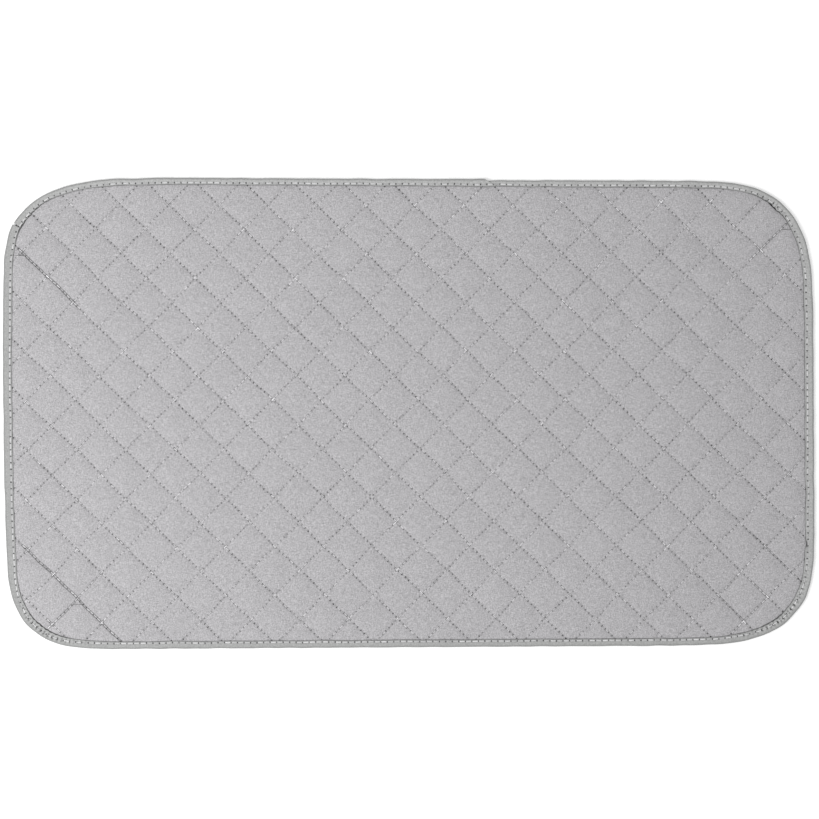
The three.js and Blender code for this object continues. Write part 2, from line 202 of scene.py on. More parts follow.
# Relief of the tape's upper side
FOLD_FULLNESS = 0.28 * MM
FOLD_CREST = 1.9 * MM
FOLD_SPREAD = 2.4 * MM
LIP_CURL = 0.25 * MM
SEAM_DRAW = 0.16 * MM
SEAM_DRAW_WIDTH = 1.0 * MM
HOLE_DRAW = 0.26 * MM
HOLE_DRAW_WIDTH = 1.1 * MM
GATHER_RISE = 0.35 * MM
GATHER_PITCH = 0.7
GATHER_SWAY = 1.8
GATHER_SWAY_RUN = 9 * MM
GATHER_FADE = (1.2 * MM, 3.2 * MM)

# Stitches of the edge seam, with their tone on the right, upper, left and lower side, where painted light
# makes them lighter on the left and lower sides
EDGE_STITCH = 6.7 * MM
EDGE_STITCH_LIGHT = np.array([1.12, 1.12, 1.28, 1.22])
EDGE_RADIUS = THREAD_RADIUS + 0.14 * MM
EDGE_RISE = 0.34 * MM
EDGE_RISE_SPREAD = (0.8, 1.2)
EDGE_SIDES = 6
EDGE_BOBBIN_RADIUS = 0.22 * MM
EDGE_BOBBIN_RISE = -0.08 * MM

# Joins of the tape's two lengths: a lapped splice and an open butt
LAP = 7 * MM
LAP_EASE = 6 * MM
LAP_OVER = 0.40 * MM
LAP_UNDER = -0.20 * MM
LAP_STAND = 0.8 * MM
LAP_REACH = 60 * MM
LAP_SLANT = 13 * MM
SLANT_REACH = 3 * LAP
NOTCH = 1.3 * MM
NOTCH_REACH = 9 * MM
BUTT_STAND = 1.0 * MM
BUTT_REACH = 2 * NOTCH_REACH

# Studio: a key light from the lower left, turned towards the upper left, an even sky and a white floor
KEY_PLACE = (-1.05, -0.54, 1.74)
KEY_AIM = (-0.6, 1.2, 0.0)
KEY_SIZE = 1.2
KEY_POWER = 24.6
SKY_LEVEL = 0.6
FLOOR_SIZE = 30.0
FLOOR_DROP = 0.2 * MM
FLOOR_COLOUR = (0.93, 0.93, 0.93, 1)
FLOOR_GLOW = 0.30

# Colours
FACE_COLOUR = (0.475, 0.467, 0.480)
BACK_COLOUR = (0.440, 0.436, 0.446)
TAPE_COLOUR = (0.455, 0.459, 0.455)
THREAD_COLOUR = (0.56, 0.555, 0.565)
WADDING_COLOUR = (0.80, 0.79, 0.76)
FELT_COLOUR = (0.58, 0.57, 0.53)
NICKEL_COLOUR = (0.49, 0.50, 0.52)

# Shine of every finish, and relief of the cloths' yarns and mottling
SPECULAR_LEVEL = 0.25
YARN_BUMP = 0.6
MOTTLE_BUMP = 0.4
WEAVE_DEPTH = 0.18 * MM

# Quilted cloth: its weave, needle holes dimpled in relief and darkened by painted shade, painted shadows
# beside proud stitches, painted shade in creases, and painted shadows
CLOTH_YARN_TONE = 0.65
CLOTH_MOTTLE_TONE = 1.25
CLOTH_BROAD_TONE = 0.08
SEAM_SHADE_STRENGTHS = (("fall", 1.0), ("rise", 0.74))
FACE_HOLE_SHADE = 0.88
BACK_HOLE_SHADE = 0.70
HOLE_FADE = (0.42 * MM, 1.20 * MM)
HOLE_SHIFT = 0.35
HOLE_MEAN = 0.95
HOLE_PATCHES = 1.3
HOLE_MOST = 1.5
HOLE_BUMP = 2.0
PROUDEST_FROM = 0.5
STITCH_SHADOW_LINE = (1.0 * MM, 0.25 * MM, 0.7 * MM, 0.60)
CREASE_SHADE = (0.25 * MM, 1.1 * MM, 0.45)
CREASE_SHADE_MEAN = 0.30
SHADOW_LINE = (-1.0 * MM, 0.2 * MM, 1.0 * MM)
SHADOW_REACH = (2 * MM, 3 * MM)
SHADOW_DEPTH = 0.05
PROUD_SHADOW = 0.25
LIP_SHADOW_FADE = (0.2 * MM, 0.9 * MM)
LIP_SHADOW = 0.45
HEAVY_SHADOW = 0.5

# Tape cloth: its weave, needle holes darkened by painted shade, gathers with painted shade and light, and
# painted shade on its rim, along its lip and in its pocket
TAPE_YARN_TONE = 0.4
TAPE_MOTTLE_TONE = 0.75
TAPE_HOLE_FADE = (0.50 * MM, 1.30 * MM)
TAPE_HOLE_PATCHES = 1.5
TAPE_HOLE_HEAVY = 0.4
TAPE_HOLE_SHADE = 0.90
GATHER_SHADE = 0.58
GATHER_HIGHLIGHT = 0.30
RIM_SHADE = (1.0 * MM, 2.5 * MM, 0.22)
LIP_SHADE = (0.05 * MM, 0.5 * MM, 0.36)
HEAVY_LIP_SHADE = (0.3 * MM, 1.0 * MM, 0.9)
POCKET_SHADE = (1.2 * MM, 2.2 * MM, 0.92)

# Thread, with painted shade at its stitches' ends, filling and plated metal
THREAD_TONE = 0.4
THREAD_END_SHADE = (1.0, 0.72, 0.7)
FIBRE_STRETCH = 4
FIBRE_TONE = 0.3
SCUFF_TONE = 0.2

# Seams that stand out near the corners, from pixel to pixel: proud stitches, creases with painted shade,
# loose tails
PROUD_SEAMS = (
    ((20, 250), (75, 303), 0.8), ((75, 303), (120, 346), 0.4), ((48, 272), (66, 254), 0.6),
    ((25, 547), (120, 641), 0.8), ((48, 625), (70, 604), 0.8),
    ((752, 256), (785, 225), 0.7), ((744, 214), (760, 200), 0.6),
    ((722, 588), (738, 573), 0.6), ((742, 618), (762, 598), 0.7), ((755, 580), (768, 594), 0.7),
    ((772, 586), (786, 574), 0.5),
)
SHADED_CREASE_SEAMS = (
    ((20, 250), (36, 267), 1.0), ((48, 625), (70, 604), 0.9), ((760, 248), (772, 237), 0.6),
    ((750, 530), (798, 581), 0.9), ((719, 598), (739, 618), 0.9),
)
THREAD_TAILS = (((14, 255), (23, 255)), ((70, 604), (82, 604)), ((781, 229), (791, 229)))

# Faults of the tape, at the pixel given: gathers, a kink of its lip, a pocket, a bent rim and wide corners
GATHERS = (((45, 628), 45 * MM, 1.0), ((785, 617), 45 * MM, 1.0), ((776, 208), 22 * MM, 0.6))
KINK = ((775, 209), 7 * MM, 1.3 * MM)
POCKET = ((806, 543), 3.2 * MM, 1.3 * MM)
BENT_RIM = ((806, 597), 7 * MM, 0.8 * MM)
WIDE_CORNERS = (((45, 625), 45 * MM, 1.2 * MM, -1.5 * MM), ((780, 620), 45 * MM, 1.3 * MM, -0.5 * MM))
HEAVY_STITCHES = (
    ((773, 207), 16 * MM, 1.0), ((30, 215), 26 * MM, 0.9),
    ((42, 624), 26 * MM, 0.9), ((775, 625), 30 * MM, 0.6),
)
RAGGED = 0.5 * MM
RAGGED_STEP = 6.5 * MM


def from_pixel(px, py):
    x = (px - PAD_MIDDLE_PX[0]) * MM_PER_PX * MM
    y = (PAD_MIDDLE_PX[1] - py) * MM_PER_PX * MM
    return np.array([x, y])


def smooth_step(value, low, high):
    share = np.clip((value - low) / (high - low), 0, 1)
    return share * share * (3 - 2 * share)


def bell(value, width):
    return np.exp(-(value / width) ** 2)


def add_object(name, data):
    made = bpy.data.objects.new(name, data)
    bpy.context.scene.collection.objects.link(made)
    return made


# Smooth random field of about unit spread: waves of about one length in random directions
def drift(length):
    angles = rng.uniform(0, TURN, DRIFT_WAVES)
    phases = rng.uniform(0, TURN, DRIFT_WAVES)
    stretches = TURN / length * rng.uniform(*DRIFT_SPREAD, DRIFT_WAVES)

    def field(x, y):
        total = np.zeros_like(x)
        for angle, phase, stretch in zip(angles, phases, stretches):
            total += np.cos(stretch * (x * math.cos(angle) + y * math.sin(angle)) + phase)
        return total * math.sqrt(2 / DRIFT_WAVES)

    return field


# Outline of the pad, read from the tape's solids: even stations with outward normals, anticlockwise
def edge_stations():
    tapes = [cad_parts[name] for name in ("edge_tape_main", "edge_tape_short")]
    points = [(v.co.x, v.co.y) for tape in tapes for v in tape.data.vertices]
    ring = np.array([points[index] for index in convex_hull_2d(points)])
    closed = np.vstack([ring, ring[:1]])
    run = np.r_[0, np.cumsum(np.hypot(*np.diff(closed, axis=0).T))]
    even = np.linspace(0, run[-1], int(run[-1] / EDGE_STEP), endpoint=False)
    places = np.column_stack([np.interp(even, run, closed[:, axis]) for axis in (0, 1)])
    around = range(-EDGE_SMOOTHING, EDGE_SMOOTHING + 1)
    places = np.mean([np.roll(places, shift, axis=0) for shift in around], axis=0)
    ahead = np.roll(places, -1, axis=0)
    if np.sum(places[:, 0] * ahead[:, 1] - ahead[:, 0] * places[:, 1]) < 0:
        places = places[::-1]
    tangents = np.roll(places, -1, axis=0) - np.roll(places, 1, axis=0)
    tangents /= np.linalg.norm(tangents, axis=1)[:, None]
    return places, np.column_stack([tangents[:, 1], -tangents[:, 0]])


edge, edge_normals = edge_stations()
edge_count = len(edge)
edge_step = np.mean(np.linalg.norm(np.roll(edge, -1, axis=0) - edge, axis=1))
edge_length = edge_count * edge_step
edge_tree = KDTree(edge_count)
for index, place in enumerate(edge):
    edge_tree.insert((*place, 0), index)
edge_tree.balance()


def nearest_station(place):
    return edge_tree.find((place[0], place[1], 0))[1]


def run_near(place):
    return nearest_station(place) * edge_step


# Distance along the edge from one run to others, the shorter way round
def run_away(run, other):
    return np.mod(run - other + edge_length / 2, edge_length) - edge_length / 2


# Distance of points inside the pad's edge, and the station that each is nearest to
def edge_inset(places):
    nearest = np.array([nearest_station(place) for place in places])
    inset = np.sum((edge[nearest] - places) * edge_normals[nearest], axis=1)
    return inset, nearest


# Place and outward normal at any run along the outline
def outline_at(run):
    share = np.asarray(run) / edge_step
    before = np.floor(share).astype(int)
    part = (share - before)[..., None]
    before, after = before % edge_count, (before + 1) % edge_count
    place = edge[before] * (1 - part) + edge[after] * part
    normal = edge_normals[before] * (1 - part) + edge_normals[after] * part
    return place, normal / np.linalg.norm(normal, axis=-1)[..., None]


# Soft random line round the edge, the same after a full turn, of about unit spread
def edge_noise(run, length):
    turns = edge_length / length
    field = np.zeros_like(run)
    for count, phase in zip(rng.uniform(*EDGE_SPREAD, EDGE_WAVES), rng.uniform(0, TURN, EDGE_WAVES)):
        field += np.cos(TURN * round(turns * count) * run / edge_length + phase)
    return field * math.sqrt(2 / EDGE_WAVES)


# How much of a fault of the tape is felt at a run along the edge
def near_pixel(run, pixel, width, strength=1.0):
    return strength * bell(run_away(run, run_near(from_pixel(*pixel))), width)


# How heavily the tape is stitched down at a run along the edge, from 0 to 1
def heaviness(run):
    return sum(near_pixel(run, *fault) for fault in HEAVY_STITCHES)


# Values of the right, upper, left and lower side, blended round the corners
def by_side(values):
    facing = np.maximum(np.column_stack([edge_normals, -edge_normals]), 0) ** 2
    return facing @ values


# Insets of the tape's lip and of its seam at each station
station_run = np.arange(edge_count) * edge_step
unevenness = LIP_UNEVEN * edge_noise(station_run, LIP_UNEVEN_LENGTH)
ragged = RAGGED * heaviness(station_run) * np.cos(TURN * station_run / RAGGED_STEP)
kinked = near_pixel(station_run, *KINK) - near_pixel(station_run, *POCKET)
lip = by_side(TAPE_WIDTHS) + unevenness + ragged + kinked
seam_inset = by_side(EDGE_SEAM_INSETS) + unevenness
for pixel, width, more_tape, more_inset in WIDE_CORNERS:
    share = near_pixel(station_run, pixel, width)
    lip += more_tape * share
    seam_inset += more_inset * share


def at_run(values, run):
    return np.interp(np.mod(run, edge_length), station_run, values, period=edge_length)


# Quilting seams, read from the thread solids: a normal, a direction, and each seam's place and ends
def seam_family(prefix, rises):
    seams = []
    for name in sorted(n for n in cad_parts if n.startswith(prefix)):
        low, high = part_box(name)
        start = np.array([low.x, low.y if rises else high.y])
        end = np.array([high.x, high.y if rises else low.y])
        seams.append((start, end, name))
    longest = max(seams, key=lambda seam: np.linalg.norm(seam[1] - seam[0]))
    along = (longest[1] - longest[0]) / np.linalg.norm(longest[1] - longest[0])
    normal = np.array([along[1], -along[0]]) if rises else np.array([-along[1], along[0]])
    seams.sort(key=lambda seam: (seam[0] + seam[1]) @ normal)
    return {
        "normal": normal,
        "along": along,
        "names": [seam[2] for seam in seams],
        "ends": [(seam[0] @ along, seam[1] @ along) for seam in seams],
        "places": np.array([(seam[0] + seam[1]) @ normal / 2 for seam in seams]),
    }


falling = seam_family("quilting_thread_falling", rises=False)
rising = seam_family("quilting_thread_rising", rises=True)


# Strongest of the listed stretches of seam that each point is near to
def near_stretches(places, stretches):
    strongest = np.zeros(len(places))
    for start, end, strength in stretches:
        start, end = from_pixel(*start), from_pixel(*end)
        ahead = end - start
        share = np.clip((places - start) @ ahead / (ahead @ ahead), 0, 1)
        away = np.linalg.norm(places - start - share[:, None] * ahead, axis=1)
        strongest = np.maximum(strongest, strength * (1 - smooth_step(away, *STRETCH_FADE)))
    return strongest


# Strength that varies by chance over the pad, but is no less than that of the listed stretches
def chance(length, mean, spread, least, most, stretches=()):
    field = drift(length)

    def strength(places):
        by_chance = np.clip(mean + spread * field(*places.T), least, most)
        return np.maximum(by_chance, near_stretches(places, stretches))

    return strength


# How seams stray from straight lines, and how strongly their needle holes (dimple and painted shade),
# stitches and the painted shade of their creases show
stray_x = drift(WANDER_LENGTH)
stray_y = drift(WANDER_LENGTH)
fine_x = drift(FINE_WANDER_LENGTH)
fine_y = drift(FINE_WANDER_LENGTH)
fall_holes = chance(*FALL_HOLES)
rise_holes = chance(*RISE_HOLES)
proudness = chance(*PROUD_CHANCE, PROUD_SEAMS)
crease_shading = chance(*CREASE_SHADE_CHANCE, SHADED_CREASE_SEAMS)


def strayed(places, beyond_lip):
    x, y = places[..., 0], places[..., 1]
    stray = WANDER * np.stack([stray_x(x, y), stray_y(x, y)], axis=-1)
    stray = stray + FINE_WANDER * np.stack([fine_x(x, y), fine_y(x, y)], axis=-1)
    return places + stray * smooth_step(beyond_lip, *WANDER_FROM_LIP)[..., None]


# Lines of a grid that follows the seams, finest beside them
def grid_lines(family, parts):
    places = family["places"]
    pitch = np.mean(np.diff(places))
    beyond = pitch * np.array([1, 2])
    bounds = np.r_[places[0] - beyond[::-1], places, places[-1] + beyond]
    share = np.arange(parts) / parts
    share = share - GRADING / TURN * np.sin(TURN * share)
    lines = [low + (high - low) * share for low, high in zip(bounds[:-1], bounds[1:])]
    return np.r_[np.concatenate(lines), bounds[-1]]


# How far quilted cloth swells at a distance from where it is held, from 0 to 1
def swell(distance, flank):
    return 1 - np.exp(-np.maximum(distance, 0) / flank)


def swell_across(family, lines):
    held = np.r_[-np.inf, family["places"], np.inf]
    above = np.searchsorted(family["places"], lines + 1e-9, side="right")
    full = swell(np.mean(np.diff(family["places"])) / 2, FLANK) ** 2
    return swell(lines - held[above], FLANK) * swell(held[above + 1] - lines, FLANK) / full


# Distance past the nearest seam of a family, negative short of it
def past_seam(family, lines):
    past = lines[:, None] - family["places"][None, :]
    return past[np.arange(len(lines)), np.argmin(np.abs(past), axis=1)]


def stitch_phase(family, places):
    return places @ family["along"] / STITCH + STITCH_SHIFT * (places @ family["normal"])


# Moves the points of a grid that lie outside the rim onto it, and tells which lie inside
def draw_in(places):
    near = np.all(np.abs(places) < np.array(cad_box[1][:2]) * GRID_REACH, axis=-1)
    inset = np.full(near.shape, -1.0)
    station = np.zeros(near.shape, int)
    inset[near], station[near] = edge_inset(places[near])
    inside = inset >= RIM_INSET
    outside = near & ~inside
    places[outside] = edge[station[outside]] - RIM_INSET * edge_normals[station[outside]]
    inset[outside] = RIM_INSET
    return inside, inset, station


# Quads of a grid with at least two corners inside, and the points that they use
def quads_inside(inside):
    corners = inside[:-1, :-1].astype(int) + inside[1:, :-1] + inside[:-1, 1:] + inside[1:, 1:]
    number = np.arange(inside.size).reshape(inside.shape)
    quads = np.stack([number[:-1, :-1], number[:-1, 1:], number[1:, 1:], number[1:, :-1]], axis=-1)
    used, quads = np.unique(quads[corners >= 2], return_inverse=True)
    return used, quads.reshape(-1, 4)


# Points of a seam-aligned grid within the pad, with what their heights and finish depend on
def quilt_grid(parts):
    fall_lines = grid_lines(falling, parts)
    rise_lines = grid_lines(rising, parts)
    to_place = np.linalg.inv(np.array([falling["normal"], rising["normal"]]))
    grid_fall, grid_rise = np.meshgrid(fall_lines, rise_lines, indexing="ij")
    places = np.stack([grid_fall, grid_rise], axis=-1) @ to_place.T
    inside, inset, station = draw_in(places)
    used, quads = quads_inside(inside)
    beyond_lip = inset - lip[station]
    loft = np.outer(swell_across(falling, fall_lines), swell_across(rising, rise_lines))
    loft = loft * swell(beyond_lip, EDGE_FLANK)
    places, beyond_lip = places.reshape(-1, 2)[used], beyond_lip.ravel()[used]
    fall_past = np.broadcast_to(past_seam(falling, fall_lines)[:, None], inside.shape).ravel()[used]
    rise_past = np.broadcast_to(past_seam(rising, rise_lines)[None, :], inside.shape).ravel()[used]
    row = np.searchsorted(falling["places"], grid_fall.ravel()[used])
    column = np.searchsorted(rising["places"], grid_rise.ravel()[used])
    return {
        "places": strayed(places, beyond_lip),
        "quads": quads,
        "loft": loft.ravel()[used],
        "fullness": fullness[row, column],
        "beyond_lip": beyond_lip,
        "fall_gap": np.abs(fall_past),
        "rise_gap": np.abs(rise_past),
        "fall_past": fall_past,
        "fall_phase": stitch_phase(falling, places),
        "rise_phase": stitch_phase(rising, places),
        "fall_holes": fall_holes(places),
        "rise_holes": rise_holes(places),
        "proud": proudness(places),
        "shaded_crease": crease_shading(places),
        "heavy": heaviness(station_run[station.ravel()[used]]),
    }


# Each pillow's own fullness, and how uneven all of them are
cell_count = (len(falling["places"]) + 1, len(rising["places"]) + 1)
fullness = 1 + CROWN_SPREAD * np.clip(rng.standard_normal(cell_count), -2, 2)
uneven_broad = drift(BROAD_LENGTH)
uneven_fine = drift(FINE_LENGTH)


# 0 on the margin under the tape, 1 on the quilted field
def field_share(beyond_lip):
    return smooth_step(beyond_lip, 0, MARGIN_EASE)


def seam_height(beyond_lip):
    return MARGIN_TOP + (SEAM_TOP - MARGIN_TOP) * field_share(beyond_lip)


def face_top(grid):
    x, y = grid["places"].T
    uneven = BROAD_UNEVEN * uneven_broad(x, y) + FINE_UNEVEN * uneven_fine(x, y)
    fuller = FULLER_LEFT * smooth_step(-x, *FULLER_REACH)
    fuller = fuller + FULLER_RIGHT * smooth_step(x, *FULLER_REACH)
    return seam_height(grid["beyond_lip"]) + CROWN * grid["loft"] * (grid["fullness"] + uneven + fuller)


def wadding_top(grid):
    tuck = WADDING_TUCK * (1 - smooth_step(grid["beyond_lip"], *TUCK_FADE))
    seam = seam_height(grid["beyond_lip"]) - CLOTH - LAYER_GAP
    return seam - tuck + WADDING_FULLNESS * CROWN * grid["loft"]


def felt_top(grid):
    seam = FELT_MARGIN_TOP + (FELT_SEAM_TOP - FELT_MARGIN_TOP) * field_share(grid["beyond_lip"])
    return seam + (FELT_TOP - seam) * grid["loft"]


def back_under(grid):
    return SEAM_BOTTOM * (1 - np.minimum(1, BACK_FULLNESS * grid["loft"]))


def at_height(grid, height):
    return np.column_stack([grid["places"], height])


# Simulates a sheet of cloth, and gives where its points end up
def simulated(sheet):
    cloth = sheet.modifiers.new("cloth", "CLOTH")
    cloth.settings.vertex_group_mass = "held"
    for key, value in SWELL_SETTINGS.items():
        setattr(cloth.settings, key, value)
    cloth.settings.effector_weights.gravity = 0
    cloth.point_cache.frame_end = SWELL_FRAMES
    for number in range(1, SWELL_FRAMES + 1):
        bpy.context.scene.frame_set(number)
    shown = sheet.evaluated_get(bpy.context.evaluated_depsgraph_get())
    moved = np.empty(3 * len(shown.data.vertices), np.float32)
    shown.data.vertices.foreach_get("co", moved)
    bpy.context.scene.frame_set(1)
    return moved.reshape(-1, 3)


# Face cloth swollen by simulation: held at its seams and under the tape, and pushed up by its filling
def swollen(grid, start):
    free = grid["beyond_lip"] > -SWELL_UNDER_LIP
    used, quads = np.unique(grid["quads"][np.all(free[grid["quads"]], axis=1)], return_inverse=True)
    mesh = bpy.data.meshes.new("swelling")
    mesh.from_pydata(start[used].tolist(), [], quads.reshape(-1, 4).tolist())
    sheet = add_object("swelling", mesh)
    gap = np.minimum(np.minimum(grid["fall_gap"], grid["rise_gap"]), grid["beyond_lip"])[used]
    held = np.flatnonzero(gap < SWELL_HOLD).tolist()
    sheet.vertex_groups.new(name="held").add(held, 1.0, "REPLACE")
    moved = simulated(sheet)
    bpy.data.objects.remove(sheet)
    result = start.copy()
    result[used] += np.clip(moved - start[used], -SWELL_CAP, SWELL_CAP)
    return result


# A piece made from vertices and faces, with a map for its finish and values that its material reads
def mesh_piece(name, vertices, faces, uv, values):
    mesh = bpy.data.meshes.new(name)
    mesh.from_pydata(vertices.tolist(), [], faces)
    layer = mesh.uv_layers.new(name="OFBake")
    layer.data.foreach_set("uv", np.asarray(uv, np.float32).ravel())
    for key, data in values.items():
        attribute = mesh.attributes.new(key, "FLOAT", "POINT")
        attribute.data.foreach_set("value", np.asarray(data, np.float32).ravel())
    mesh.shade_smooth()
    return add_object(name, mesh)


# Closed slab between an upper and a lower sheet on one grid, walled round each rim
def slab(name, grid, quads, upper, lower, shows_upper=True):
    count = len(upper)
    edges = quads[:, [0, 1, 1, 2, 2, 3, 3, 0]].reshape(-1, 2)
    rim = edges[~np.isin(edges @ (count, 1), edges @ (1, count))]
    walls = np.column_stack([rim[:, 1], rim[:, 0], rim[:, 0] + count, rim[:, 1] + count])
    flat = (grid["places"] - np.array(cad_box[0][:2])) / (cad_box[1].x - cad_box[0].x)
    shown, hidden = (flat * scale + shift for scale, shift in (SHOWN_MAP, HIDDEN_MAP))
    uv = np.vstack([shown, hidden] if shows_upper else [hidden, shown])
    faces = np.vstack([quads, quads[:, ::-1] + count, walls])
    values = {key: np.tile(data, 2) for key, data in grid.items() if key not in SHAPE_VALUES}
    return mesh_piece(name, np.vstack([upper, lower]), faces.tolist(), uv[faces.ravel()], values)


# Needle holes of a family of seams, row by row: places, and insets beyond the tape's lip
def seam_holes(family):
    for place, (start, end) in zip(family["places"], family["ends"]):
        shift = STITCH_SHIFT * place
        numbers = np.arange(math.ceil(start / STITCH + shift), math.floor(end / STITCH + shift) + 1)
        holes = family["normal"] * place + ((numbers - shift) * STITCH)[:, None] * family["along"]
        inset, station = edge_inset(holes)
        beyond_lip = inset - lip[station]
        seen = beyond_lip > FIRST_HOLE
        yield holes[seen], beyond_lip[seen]


# Step and side of each corner of a tube's faces
def tube_corners(steps, sides):
    step, side = np.meshgrid(np.arange(steps - 1), np.arange(sides), indexing="ij")
    along = np.stack([step, step, step + 1, step + 1], axis=-1).reshape(-1, 4)
    across = np.stack([side, side + 1, side + 1, side], axis=-1).reshape(-1, 4)
    return along, across


# Faces of a number of tubes, capped at both ends
def tube_faces(count, steps, sides):
    along, across = tube_corners(steps, sides)
    first = np.arange(count)[:, None, None] * steps * sides
    walls = (first + along * sides + across % sides).reshape(-1, 4)
    ends = np.array([np.arange(sides)[::-1], np.arange(sides) + (steps - 1) * sides])
    return walls.tolist() + (first + ends).reshape(-1, sides).tolist()


# Map of stitches, each in a cell of its own
def stitch_map(count, steps, sides):
    along, across = tube_corners(steps, sides)
    cells = math.ceil(math.sqrt(count))
    cell = np.stack([np.arange(count) % cells, np.arange(count) // cells], axis=-1)
    in_cell = np.stack([along / (steps - 1), across / sides], axis=-1)
    in_cell = STITCH_MARGIN + (1 - 2 * STITCH_MARGIN) * in_cell
    walls = (cell[:, None, None, :] + in_cell) / cells
    return np.vstack([walls.reshape(-1, 2), np.repeat(cell / cells, 2 * sides, axis=0)])


# Stitches from hole to hole: bent lengths of thread that dive into the cloth at both ends
def stitches(name, heads, tails, rise, radius, tone, sides):
    share, lift, thick = (np.array(column) for column in zip(*STITCH_BEND))
    count, steps = len(heads), len(STITCH_BEND)
    along = tails - heads
    spine = heads[:, None, :] + along[:, None, :] * share[None, :, None]
    spine[..., 2] += np.broadcast_to(rise, count)[:, None] * lift[None, :]
    ahead = along / np.linalg.norm(along, axis=1)[:, None]
    across = np.column_stack([-ahead[:, 1], ahead[:, 0], np.zeros(count)])
    turn = TURN * np.arange(sides) / sides
    ring = np.cos(turn)[None, None, :, None] * across[:, None, None, :]
    ring = ring + np.sin(turn)[None, None, :, None] * np.array([0, 0, 1.0])
    reach = np.broadcast_to(radius, count)[:, None] * thick[None, :]
    vertices = (spine[:, :, None, :] + reach[:, :, None, None] * ring).reshape(-1, 3)
    values = {
        "stitch_end": np.tile(np.repeat(np.abs(2 * share - 1), sides), count),
        "tone": np.repeat(tone * rng.uniform(*STITCH_TONES, count), steps * sides),
    }
    shape = count, steps, sides
    return mesh_piece(name, vertices, tube_faces(*shape), stitch_map(*shape), values)


def quilting_stitches(name, family, crossing, on_face, tails=()):
    starts, ends = [], []
    for holes, beyond_lip in seam_holes(family):
        level = seam_height(beyond_lip) if on_face else np.full(len(holes), SEAM_BOTTOM)
        jitter = HOLE_JITTER * rng.standard_normal(len(holes))[:, None] * family["normal"]
        points = np.column_stack([strayed(holes, beyond_lip) + jitter, level])
        starts.append(points[:-1])
        ends.append(points[1:])
    starts, ends = np.concatenate(starts), np.concatenate(ends)
    for start, end in tails:
        bends = np.linspace(from_pixel(*start), from_pixel(*end), TAIL_PARTS + 1)
        points = np.array([on_face_cloth(place) for place in bends])
        starts = np.vstack([starts, points[:-1]])
        ends = np.vstack([ends, points[1:]])
    if not on_face:
        return stitches(name, starts, ends, BOBBIN_RISE, THREAD_RADIUS, 1.0, BOBBIN_SIDES)
    middles = (starts[:, :2] + ends[:, :2]) / 2
    crossed = bell(past_seam(crossing, middles @ crossing["normal"]), CROSSING_REACH)
    proud = proudness(middles) + CROSSING_PROUD * crossed
    proud = np.clip(proud * rng.uniform(*PROUD_SPREAD, len(starts)), 0, 1)
    rise = STITCH_RISE + PROUD_RISE * proud
    # Painted highlights on proud stitches and, at random, on stitches at crossings
    tone = 1.0 + PROUD_HIGHLIGHT * proud + CROSSING_HIGHLIGHT * crossed * rng.uniform(0, 1, len(starts))
    in_tail = np.arange(len(starts)) >= len(starts) - TAIL_PARTS * len(tails)
    tone[in_tail] = TAIL_TONE
    rise[in_tail] = TAIL_RISE
    radius = THREAD_RADIUS + PROUD_RADIUS * proud
    return stitches(name, starts, ends, rise, radius, tone, QUILTING_SIDES)


def on_face_cloth(place):
    nearest = np.argmin(np.linalg.norm(face_points[:, :2] - place, axis=1))
    return np.array([*place, face_points[nearest, 2]])


# Edge tape: the runs along the outline where its two lengths end, and its stitches
short_low, short_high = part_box("edge_tape_short")
splice_run = run_near((short_high.x, short_high.y))
butt_run = run_near((short_low.x, short_low.y))
short_length = (butt_run - splice_run) % edge_length
edge_stitches = round(edge_length / EDGE_STITCH)
edge_pitch = edge_length / edge_stitches


# Flat size of a length of tape: its mean section unfolded, and its run along the edge
def tape_cut(start, length):
    mean_lip = np.mean(at_run(lip, np.arange(start, start + length, EDGE_STEP)))
    return 2 * (mean_lip - FOLD_RADIUS) + math.pi * FOLD_RADIUS, length


# Section of the tape: shares of the lip's inset, insets more, heights, and which way each point puffs out
def fold_points(turns, radius):
    for turn in turns:
        rise = math.sin(turn)
        inset = FOLD_RADIUS - math.cos(turn) * radius
        yield 0.0, inset, TAPE_MIDDLE + radius * rise, max(rise, LOWER_PUFF * rise)


def tape_section():
    turns = np.radians(np.linspace(-FOLD_TURN, FOLD_TURN, FOLD_POINTS))
    points = [(share, 0.0, TAPE_LOW, -LOWER_PUFF) for share in TAPE_SHARES[::-2]]
    points += fold_points(turns, FOLD_RADIUS)
    points += [(share, 0.0, TAPE_HIGH, 1.0) for share in TAPE_SHARES]
    points += [(1.0, 0.0, TAPE_HIGH - TAPE_THICKNESS * part, 1.0) for part in LIP_PARTS]
    points += [(share, 0.0, TAPE_HIGH - TAPE_THICKNESS, 1.0) for share in TAPE_SHARES[::-2]]
    points += fold_points(turns[::-2], FOLD_RADIUS - TAPE_THICKNESS)
    points += [(share, 0.0, TAPE_LOW + TAPE_THICKNESS, -LOWER_PUFF) for share in TAPE_SHARES[::2]]
    points += [(1.0, 0.0, TAPE_LOW + TAPE_THICKNESS * part, -LOWER_PUFF) for part in LIP_PARTS[::-1]]
    return [np.array(column) for column in zip(*points)]


# Ripples of the gathered corners, from -1 to 1, across the seam
def gather(run, inset):
    held = sum(near_pixel(run, *fault) for fault in GATHERS)
    sway = GATHER_SWAY * np.sin(run / GATHER_SWAY_RUN)
    ripple = np.cos(TURN * run / (edge_pitch * GATHER_PITCH) + sway)
    to_seam = inset - at_run(seam_inset, run)
    return held * ripple * (1 - smooth_step(np.abs(to_seam), *GATHER_FADE))


